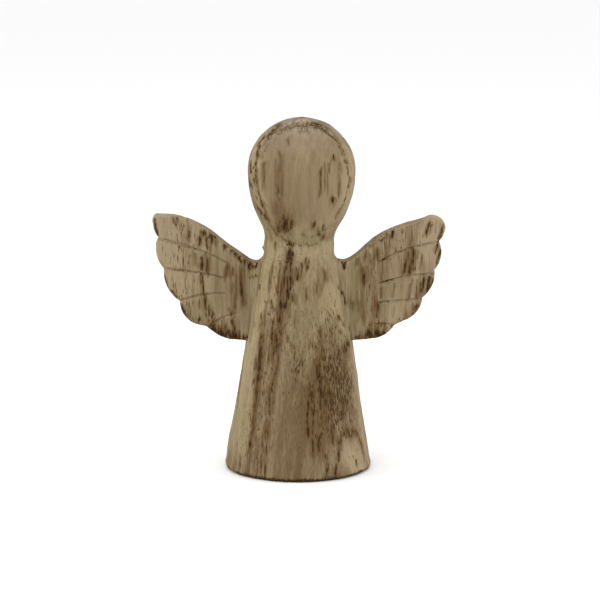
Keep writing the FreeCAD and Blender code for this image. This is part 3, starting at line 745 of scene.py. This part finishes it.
RIGHT_WING_STREAKS = [
    # the first feather, with streaks that lean to the right at the top
    (36, 118.2, 35.6, 116.6, 1.1, 0.85), (39.6, 119.2, 42.6, 120.6, 0.6, 0.7),
    (38.8, 119.5, 38.8, 117, 0.5, 0.6), (39.4, 114, 39.3, 109, 1.0, 0.8),
    (35.8, 111.5, 36, 108.5, 0.7, 0.6), (36, 108.5, 38, 106.4, 0.8, 0.6),
    (33.8, 112.5, 33.8, 110, 0.8, 0.6), (29.5, 109, 29.5, 107, 0.9, 0.6),
    (44.4, 119, 44.2, 110.5, 1.3, 0.4), (44.8, 123, 44.7, 121.5, 0.7, 0.7),
    (47.8, 123.5, 47, 120.5, 0.8, 0.75), (48.4, 126, 48.3, 123.5, 0.5, 0.5),
    (66.3, 128, 64.2, 122, 0.9, 0.75), (67.4, 127, 66.4, 122.5, 0.7, 0.6),
    (69.7, 129, 69.5, 124, 0.4, 0.3), (57, 122, 56.8, 117, 0.9, 0.4),
    (70.5, 116.5, 69.6, 113.5, 0.9, 0.8), (71, 119, 72, 121.5, 0.7, 0.6),
    # the second
    (32.4, 105.5, 32.5, 101, 1.1, 0.7), (32.6, 102.5, 32.6, 98, 1.7, 0.72),
    (58.3, 113.5, 56.3, 103.5, 1.4, 0.75), (55.4, 113, 53.6, 102, 0.9, 0.7),
    (60.6, 113, 58.6, 103.5, 0.7, 0.45), (62.8, 111, 61.4, 103.5, 0.6, 0.5),
    (42.3, 108, 42, 100, 1.3, 0.35),
    # the third
    (64, 98.5, 61.5, 91, 1.6, 0.85), (66.5, 99, 64.8, 93, 1.2, 0.95), (67.4, 95, 65.5, 91.5, 1.2, 0.9),
    (60.4, 98.5, 59.5, 90, 0.7, 0.55), (57.2, 97.5, 56.2, 90.5, 0.7, 0.6),
    (48.6, 97, 47.6, 90, 0.6, 0.4), (39, 97, 39, 88, 1.2, 0.4), (41.8, 95.5, 41.6, 91, 0.7, 0.5),
    # the fourth and fifth
    (59.8, 84.6, 59.4, 82.6, 1.4, 1.0), (40.4, 86.5, 39.6, 78.5, 1.0, 0.8),
    (38.6, 89, 38.6, 81, 0.9, 0.45), (54.6, 82.5, 54.4, 79, 0.7, 0.5), (48.5, 85, 48, 80, 0.5, 0.3),
    (40.5, 76.6, 43, 76.2, 0.6, 0.7), (43.8, 75.6, 44.4, 74.6, 0.6, 0.7),
    (36.5, 74.6, 40, 73.2, 1.0, 0.5), (36, 71.5, 38, 71, 1.2, 0.6),
    # the root
    (31.8, 98, 32.2, 79, 1.6, 0.35), (27, 88, 26.6, 85.5, 1.2, 0.55), (30.4, 87, 30.4, 82, 0.6, 0.45),
    (21.6, 93, 23.6, 87.4, 0.8, 0.75), (29.6, 93, 29.6, 86, 0.5, 0.35),
]
# Singed stretches of each wing's edge.
LEFT_WING_BURNS = [
    (-45.5, 73.8, -42.5, 72, 1.8, 1.6), (-42.5, 72, -38.5, 70, 1.9, 1.6),
    (-38.5, 70, -32, 68.8, 1.7, 1.6), (-32, 68.8, -26, 68.4, 1.1, 1.2),
    (-60.2, 85, -58.4, 80.5, 0.9, 0.9), (-58.4, 80.5, -52, 75.6, 0.5, 0.6),
    (-69.4, 102, -67.6, 95, 0.7, 0.8), (-67.6, 95, -63, 89.6, 0.6, 0.7),
    (-50, 128.8, -41, 123.4, 0.4, 0.6), (-41, 123.4, -25, 110, 0.4, 0.5),
]
RIGHT_WING_BURNS = [
    (33, 69, 44, 70.8, 1.6, 1.8), (34, 68.8, 42, 69.6, 1.2, 2.0), (27, 68.4, 36, 69.2, 0.8, 1.2),
    (44, 70.6, 48, 74.5, 0.8, 0.5), (49, 76, 57, 78.6, 0.5, 0.6), (57, 79, 62, 85, 0.5, 0.6),
    (65, 91, 69, 98, 0.8, 0.8), (70, 105, 72.2, 114, 0.6, 0.8), (73.4, 128, 72, 121, 0.7, 0.6),
    (25, 112.4, 44, 124.6, 0.5, 0.6),
]
# Where the real edge stands a little proud of the drawn one: middle, half sizes, amount.
LEFT_GROWTH = [(-32, 114, 9, 12, 0.6), (-30, 68, 14, 3, 0.45)]
RIGHT_GROWTH = [(23, 112, 5, 4, 1.1), (40, 121, 8, 6, 0.4), (31, 68, 12, 3, 0.45)]
# Where the tool chattered and left dark pits along the carved lines: middle, half sizes, amount.
LEFT_CHATTER = [
    (-51, 115, 9, 4, 0.9), (-60, 104, 7, 3, 0.8), (-48, 102, 6, 3, 0.8),
    (-52, 90, 6, 3, 0.35),
]
RIGHT_CHATTER = [
    (43, 109, 6, 4, 1.0), (53, 114, 5, 3, 0.6), (44, 99, 6, 3, 0.9),
    (42, 88, 4, 3, 1.2), (54, 88, 7, 3, 0.5), (67, 119, 4, 3, 0.4),
]
# Small V nicks at the top of each root, each also painted dark as a painted shadow in the recess.
LEFT_NOTCH = [(-25.2, 107), (-22.6, 105.4), (-20.8, 108)]
RIGHT_NOTCH = [(21.4, 109), (22.8, 104.8), (24, 109.6)]

TAPER_START = 27.0  # from here out to the tip a wing gets thinner
WING_REACH = 75.0
TIP_FACE = -3.5
DEEPEST_GROOVE = 0.9
VOXEL = 0.4
FILLET_SWELL = 2.2
FILLET_REACH = 6.0
FILLET_OUTER = 31.0
FILLET_BOTTOM = 84.0
NICK_HALF = 0.9
NICK_DEPTH = 0.8
WING_STREAK_DEPTH = 0.2


def wing_mesh(name):
    """A fine, even copy of a CAD wing."""
    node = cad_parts[name]
    piece = bpy.data.objects.new(f"{name}_carving", node.data.copy())
    bpy.context.collection.objects.link(piece)
    remesh = piece.modifiers.new("even", "REMESH")
    remesh.mode = "VOXEL"
    remesh.voxel_size = VOXEL * MM
    remesh.adaptivity = 0.0
    depsgraph = bpy.context.evaluated_depsgraph_get()
    mesh = bpy.data.meshes.new_from_object(piece.evaluated_get(depsgraph))
    piece.modifiers.clear()
    piece.data = mesh
    return piece


def groove_depth(points):
    """How far a point of a wing's front lies under its tapering face: in a carved line or at the edge."""
    x, y = np.abs(points[:, 0]), points[:, 1]
    root_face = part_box("left_wing")[0][1] / MM
    face = np.interp(x, (TAPER_START, WING_REACH), (root_face, TIP_FACE))
    return np.clip(y - face, 0.0, DEEPEST_GROOVE) * (y < 0.3 * face)


def root_fillet(points):
    """How much the wood swells where a wing runs into the gown, in the upper half of the joint."""
    tree = tree_of("figure")
    swell = np.zeros(len(points))
    near = (np.abs(points[:, 0]) < FILLET_OUTER) & (points[:, 2] > FILLET_BOTTOM)
    for index in np.nonzero(near)[0]:
        distance = tree.find_nearest(Vector(points[index] * MM))[3] / MM
        swell[index] = max(0.0, 1.0 - distance / FILLET_REACH) ** 2
    return swell * ramp(points[:, 2], FILLET_BOTTOM, 98.0)


def wing_nicks(points, notch):
    """The V nick at the top of the root."""
    distance = path_distance(points[:, 0], points[:, 2], notch)
    return np.clip(1.0 - distance / NICK_HALF, 0.0, 1.0) * ramp(-points[:, 1], 2.0, 5.0)


def groove_slope_light(normals, sunk, faces_front):
    """The upper and the lower slope of each carved line, told apart by which way they face: the upper,
    facing down, gets painted shade, the lower, facing up, painted highlight.
    """
    in_groove = ramp(sunk, 0.05, 0.3) * faces_front
    return [ramp(way * normals[:, 2], 0.15, 0.6) * in_groove for way in (-1, 1)]


def back_soot(points):
    """Broken sooty grain on a wing's back."""
    along = points * (1.0, 0.0, 1.0)
    fine = ramp(noise(along, (2.2, 1.0, 12.0), 62), 0.25, 0.85)
    return fine * ramp(noise(along, (14.0, 1.0, 18.0), 63), -0.2, 0.4) * ramp(points[:, 1], 0.0, 1.5)


def wing_soot_and_shade(points, marks, edges, faces_front, sunk, upper_slope_shade, nicks, chatter):
    """Soot from every cause, with painted shade on each carved line's upper slope and a painted shadow in
    each root's nick; at each point the darkest one counts.
    """
    x, z = points[:, 0], points[:, 2]
    dotted = ramp(noise(points, (0.9, 0.9, 0.9), 61), 0.0, 0.6) * patch_field(x, z, chatter)
    grain = noise(points * (1.0, 0.0, 1.0), (2.6, 1.0, 15.0), 64)
    layers = [
        np.maximum(marks[0], 0.3 * marks[1]) * faces_front,
        0.75 * back_soot(points),
        edges[0],
        0.3 * edges[1],
        dotted * ramp(sunk, 0.3, 0.85),
        # Painted shade on the upper slope of each carved line, which faces down.
        0.3 * upper_slope_shade * ramp(noise(points, (2.0, 2.0, 2.0), 69), -0.8, 0.4),
        # Painted shadow: the nick at the top of each root is painted dark.
        0.85 * ramp(nicks, 0.2, 0.7),
        0.25 * ramp(grain, 0.1, 0.8),
    ]
    return np.max(layers, axis=0)


def wing_tone(points, halo, edge_halo, upper_slope_shade, lower_slope_highlight):
    """How brown a wing is: browner by the root, paler toward the tip, with painted light beside the gown
    and painted shade and highlight on the carved lines.
    """
    out, z = np.abs(points[:, 0]), points[:, 2]
    along = points * (1.0, 0.0, 1.0)
    tone = 0.3 + 0.2 * noise(along, (8.0, 1.0, 26.0), 65) + 0.2 * noise(along, (1.3, 1.0, 24.0), 66)
    tone += 0.3 * bump_at(out, 32.0, 7.0) * bump_at(z, 95.0, 18.0) + 0.5 * halo + 0.25 * edge_halo
    # Paler toward the tip. Within 23 mm of the middle, and in the next line by the joint, the wing is
    # painted paler, as painted light that lifts the joint's shade.
    tone -= 0.45 * ramp(out, 50.0, 72.0) + 0.3 * ramp(-out, -27.0, -23.0)
    # Painted shade and highlight: each carved line is browner on its upper slope, which faces down, and
    # paler on its lower slope, which faces up.
    tone += (0.5 - tone) * root_painted_light(points) + 0.25 * upper_slope_shade - 0.4 * lower_slope_highlight
    return tone


def wing_olive(points):
    """Olive by the root, dusty grey toward the tip."""
    out = np.abs(points[:, 0])
    olive = 0.3 + 0.35 * noise(points * (1.0, 0.0, 1.0), (10.0, 1.0, 30.0), 67)
    return olive + 0.2 * bump_at(out, 27.0, 5.0) - 0.6 * ramp(out, 45.0, 72.0)


def wing_relief(points, normals, marks, faces_front, sunk, nicks, growth):
    """How far each point moves outward: brushed grain, streaks, shallower grooves and a prouder edge."""
    x, z = points[:, 0], points[:, 2]
    on_edge = ramp(np.abs(normals[:, 2]), 0.3, 0.8)
    move = 0.16 * noise(points, (6.0, 6.0, 14.0), 71) + 0.08 * noise(points, (1.3, 1.3, 14.0), 72)
    move += 0.05 * noise(points, (1.1, 1.1, 3.0), 73)
    move -= WING_STREAK_DEPTH * marks[0] * faces_front
    move -= NICK_DEPTH * nicks
    fill = 0.05 + 0.6 * bump_at(np.abs(x), 28.0, 8.0)
    move += sunk * fill * faces_front * ramp(z, 71.0, 74.0)
    move += patch_field(x, z, growth) * on_edge
    return move + FILLET_SWELL * root_fillet(points)


def make_wing(name, streaks, burns, notch, growth, chatter):
    """Paints and carves one wing, which stands in for the CAD wing."""
    piece = wing_mesh(name)
    mesh = piece.data
    points = points_of(mesh)
    normals = normals_of(mesh)
    x, z = points[:, 0], points[:, 2]
    faces_front = ramp(-normals[:, 1], 0.2, 0.7)
    marks = streak_field(points, x, z, 1.0, streaks)
    edges = streak_field(points, x, z, 1.0, burns)
    sunk = groove_depth(points)
    upper_slope_shade, lower_slope_highlight = groove_slope_light(normals, sunk, faces_front)
    nicks = wing_nicks(points, notch)
    paint_layers(
        mesh,
        soot_and_shade=wing_soot_and_shade(points, marks, edges, faces_front, sunk, upper_slope_shade, nicks, chatter),
        tone=wing_tone(points, marks[1] * faces_front, edges[1], upper_slope_shade, lower_slope_highlight),
        olive=wing_olive(points),
        speckle=0.3 + 0.3 * noise(points * (1.0, 0.0, 1.0), (12.0, 1.0, 20.0), 68),
    )
    move = wing_relief(points, normals, marks, faces_front, sunk, nicks, growth)
    move_points(mesh, points + normals * move[:, None])
    shade_smooth(mesh)
    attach(piece, "root")
    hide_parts(name)


make_wing("left_wing", LEFT_WING_STREAKS, LEFT_WING_BURNS, LEFT_NOTCH, LEFT_GROWTH, LEFT_CHATTER)
make_wing("right_wing", RIGHT_WING_STREAKS, RIGHT_WING_BURNS, RIGHT_NOTCH, RIGHT_GROWTH, RIGHT_CHATTER)


# ---------------------------------------------------------------- material


def node(tree, kind, inputs=None, **settings):
    """Adds a shader node. An input is a number, a colour or another node's socket."""
    new = tree.nodes.new(kind)
    for name, value in settings.items():
        setattr(new, name, value)
    for key, value in (inputs or {}).items():
        if isinstance(value, bpy.types.NodeSocket):
            tree.links.new(value, new.inputs[key])
        else:
            new.inputs[key].default_value = value
    return new


def maths(tree, operation, first, second, clamp=False):
    """One sum of two numbers or sockets."""
    inputs = {0: first, 1: second}
    return node(tree, "ShaderNodeMath", inputs, operation=operation, use_clamp=clamp).outputs[0]


def blend(tree, share, first, second, kind="MIX"):
    """The first colour with a share of the second laid over it."""
    new = node(tree, "ShaderNodeMix", data_type="RGBA", blend_type=kind)
    for socket, value in ((new.inputs[0], share), (new.inputs[6], first), (new.inputs[7], second)):
        if isinstance(value, bpy.types.NodeSocket):
            tree.links.new(value, socket)
        else:
            socket.default_value = value
    return new.outputs[2]


def spread(tree, value, low, high, to_low=0.0, to_high=1.0):
    """Maps a stretch of a value onto another stretch, and clamps it."""
    inputs = {0: value, 1: low, 2: high, 3: to_low, 4: to_high}
    return node(tree, "ShaderNodeMapRange", inputs, clamp=True).outputs[0]


def fibre_noise(tree, place, across, along, detail=2.0, shift=0.0):
    """Noise drawn out along the grain: lump sizes in millimetres across and along it."""
    scale = (1.0 / (across * MM), 1.0 / (across * MM), 1.0 / (along * MM))
    moved = {"Vector": place, "Location": (shift, shift, shift), "Scale": scale}
    mapping = node(tree, "ShaderNodeMapping", moved)
    inputs = {"Vector": mapping.outputs[0], "Scale": 1.0, "Detail": detail, "Roughness": 0.55}
    return node(tree, "ShaderNodeTexNoise", inputs).outputs["Fac"]


def painted(tree, name):
    """One of the layers stored on the mesh."""
    return node(tree, "ShaderNodeAttribute", attribute_name=name).outputs["Fac"]


def new_material(name):
    """(material, its node tree, its main shader)"""
    material = bpy.data.materials.new(name)
    material.use_nodes = True
    return material, material.node_tree, material.node_tree.nodes["Principled BSDF"]


PALE = (0.335, 0.256, 0.154, 1.0)
BROWN = (0.153, 0.097, 0.048, 1.0)
OLIVE_TINT = (0.86, 0.97, 0.72, 1.0)
# Grey-blue: dusty wood toward the wings' tips, and painted light from above at the crown.
DUSTY_AND_SKYLIT_TINT = (0.98, 1.04, 1.22, 1.0)
HAIR_TINT = (0.5, 0.47, 0.4, 1.0)
# Scorch brown for soot, and for the painted shade and shadow that the soot layer carries.
SCORCH_AND_SHADE = (0.102, 0.054, 0.014, 1.0)
BLACK = (0.026, 0.013, 0.003, 1.0)
BEECH = (0.52, 0.36, 0.2, 1.0)
BEECH_FLECK = (0.36, 0.22, 0.11, 1.0)
RELIEF = 0.25
WOOD_SHINE = 0.18


def wood_colour(tree, fine, hair, broad):
    """Pale to brown by the tone layer, which also carries painted highlight and shade, then tinted olive or
    grey-blue, the grey-blue being dusty wood on the wings and painted light from above at the crown, then
    crossed by fine dark hairs.
    """
    speckle, tint = painted(tree, "speckle"), painted(tree, "olive")
    lively = spread(tree, speckle, 0.0, 0.6, 0.1, 0.6)
    lively = maths(tree, "MULTIPLY", lively, 2.5)
    grain = maths(tree, "MULTIPLY", maths(tree, "SUBTRACT", fine, 0.5), lively)
    tone = maths(tree, "ADD", painted(tree, "tone"), grain)
    tone = maths(tree, "ADD", tone, spread(tree, broad, 0.3, 0.7, -0.12, 0.12), clamp=True)
    colour = blend(tree, tone, PALE, BROWN)
    olive = maths(tree, "MULTIPLY", tint, spread(tree, broad, 0.35, 0.65, 0.25, 0.8), clamp=True)
    colour = blend(tree, olive, colour, OLIVE_TINT, "MULTIPLY")
    colour = blend(tree, spread(tree, tint, 0.0, -1.0), colour, DUSTY_AND_SKYLIT_TINT, "MULTIPLY")
    shown = spread(tree, speckle, 0.0, 0.8, 0.14, 0.42)
    hairs = maths(tree, "MULTIPLY", spread(tree, hair, 0.35, 0.65), shown)
    return blend(tree, hairs, colour, HAIR_TINT, "MULTIPLY")


def wood_soot_and_shade(tree, place, fine):
    """The soot layer, which also carries painted shade and shadow, broken up by the grain, and soot in the
    open pores.
    """
    speckle = painted(tree, "speckle")
    pores = fibre_noise(tree, place, 0.65, 4.2, shift=7.0)
    open_pores = maths(tree, "ADD", pores, spread(tree, speckle, 0.0, 1.0, -0.2, 0.1))
    open_pores = spread(tree, open_pores, 0.53, 0.63)
    in_pores = maths(tree, "MULTIPLY", open_pores, spread(tree, speckle, 0.0, 0.9, 0.55, 0.85))
    soot_and_shade = maths(tree, "MULTIPLY", painted(tree, "soot_and_shade"), spread(tree, fine, 0.3, 0.65, 0.3, 1.65))
    return maths(tree, "MAXIMUM", soot_and_shade, in_pores, clamp=True)


def singed_wood(name):
    """Brushed, singed wood: tone, olive tint, speckle and soot come from the painted layers. The tone layer
    also carries painted highlight and shade, the olive layer painted light at the crown, and the soot layer
    painted shade and shadow.
    """
    material, tree, shader = new_material(name)
    place = node(tree, "ShaderNodeTexCoord").outputs["Object"]
    fine = fibre_noise(tree, place, 0.7, 14.0, detail=3.0)
    hair = fibre_noise(tree, place, 0.35, 5.0, shift=3.0)
    broad = fibre_noise(tree, place, 2.4, 40.0, shift=11.0)

    soot_and_shade = wood_soot_and_shade(tree, place, fine)
    colour = wood_colour(tree, fine, hair, broad)
    # Soot, with the painted shade and shadow it carries, darkens the wood to scorch brown and then black.
    colour = blend(tree, spread(tree, soot_and_shade, 0.05, 0.6), colour, SCORCH_AND_SHADE)
    colour = blend(tree, spread(tree, soot_and_shade, 0.55, 1.0), colour, BLACK)

    relief = maths(tree, "SUBTRACT", maths(tree, "ADD", fine, maths(tree, "MULTIPLY", hair, 0.5)), soot_and_shade)
    bump = node(tree, "ShaderNodeBump", {"Height": relief, "Strength": 0.5, "Distance": RELIEF * MM})
    tree.links.new(bump.outputs[0], shader.inputs["Normal"])
    tree.links.new(colour, shader.inputs["Base Color"])
    tree.links.new(spread(tree, soot_and_shade, 0.0, 1.0, 0.72, 0.9), shader.inputs["Roughness"])
    shader.inputs["Specular IOR Level"].default_value = WOOD_SHINE
    return material


def dowel_wood():
    """Clean turned beech, sealed inside the joints."""
    material, tree, shader = new_material("dowel_wood")
    place = node(tree, "ShaderNodeTexCoord").outputs["Object"]
    turn = {"Vector": place, "Rotation": (0.0, math.pi / 2.0, 0.0)}
    fleck = fibre_noise(tree, node(tree, "ShaderNodeMapping", turn).outputs[0], 0.4, 3.0)
    colour = blend(tree, spread(tree, fleck, 0.35, 0.65), BEECH, BEECH_FLECK)
    tree.links.new(colour, shader.inputs["Base Color"])
    tree.links.new(spread(tree, fleck, 0.3, 0.7, 0.5, 0.7), shader.inputs["Roughness"])
    return material


def assign(piece, material):
    """Gives a piece this one material."""
    piece.data.materials.clear()
    piece.data.materials.append(material)


assign(figure, singed_wood("figure_wood"))
wing_wood = singed_wood("wing_wood")
for side in ("left", "right"):
    assign(bpy.data.objects[f"{side}_wing_carving"], wing_wood)
beech = dowel_wood()
for name, cad_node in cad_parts.items():
    if name.endswith("dowel"):
        assign(cad_node, beech)


# ---------------------------------------------------------------- floor, light and camera


FLOOR_HALF = 4.0
FLOOR_COLOUR = (0.95, 0.95, 0.95, 1.0)
FLOOR_ROUGHNESS = 0.9
LAMP_AIM = (0.0, 0.0, 0.1)
SIDE_AIM = (0.0, 0.0, 0.09)
OVERHEAD_POWER = 3.6
SIDE_POWER = 2.5
LENS = 180.0
SENSOR = 36.0
CAMERA_PLACE = (0.25, -1514.51, 381.85)
CAMERA_AIM = (0.25, 0.0, 87.46)


def make_floor():
    """A wide, pale, matt floor at height 0."""
    corners = [(x * FLOOR_HALF, y * FLOOR_HALF, 0.0) for x, y in ((-1, -1), (1, -1), (1, 1), (-1, 1))]
    floor = mesh_object("floor", np.array(corners), [(0, 1, 2, 3)])
    material, _, shader = new_material("pale_floor")
    shader.inputs["Base Color"].default_value = FLOOR_COLOUR
    shader.inputs["Roughness"].default_value = FLOOR_ROUGHNESS
    floor.data.materials.append(material)


def make_light(name, place, aim, size, power):
    """A square lamp, in metres and watts."""
    light = bpy.data.lights.new(name, "AREA")
    light.size = size
    light.energy = power
    lamp = bpy.data.objects.new(name, light)
    lamp.location = place
    lamp.rotation_euler = (Vector(aim) - Vector(place)).to_track_quat("-Z", "Y").to_euler()
    bpy.context.collection.objects.link(lamp)


def make_world():
    """Even white light from all round."""
    world = bpy.data.worlds.new("studio")
    world.use_nodes = True
    background = world.node_tree.nodes["Background"]
    background.inputs["Color"].default_value = (1.0, 1.0, 1.0, 1.0)
    background.inputs["Strength"].default_value = 1.0
    bpy.context.scene.world = world


def make_camera():
    """A long lens in front of the figure and a little above it."""
    data = bpy.data.cameras.new("camera")
    data.lens = LENS
    data.sensor_width = SENSOR
    camera = bpy.data.objects.new("camera", data)
    target = Vector(CAMERA_AIM) * MM
    camera.location = Vector(CAMERA_PLACE) * MM
    camera.rotation_euler = (target - camera.location).to_track_quat("-Z", "Y").to_euler()
    bpy.context.collection.objects.link(camera)
    bpy.context.scene.camera = camera


make_floor()
make_world()
make_light("overhead", (-0.15, -0.1, 1.2), LAMP_AIM, 1.0, OVERHEAD_POWER)
for side in (-1, 1):
    make_light("side", (0.9 * side, -0.1, 0.45), SIDE_AIM, 0.6, SIDE_POWER)
make_camera()
bpy.context.scene.view_settings.view_transform = "Standard"
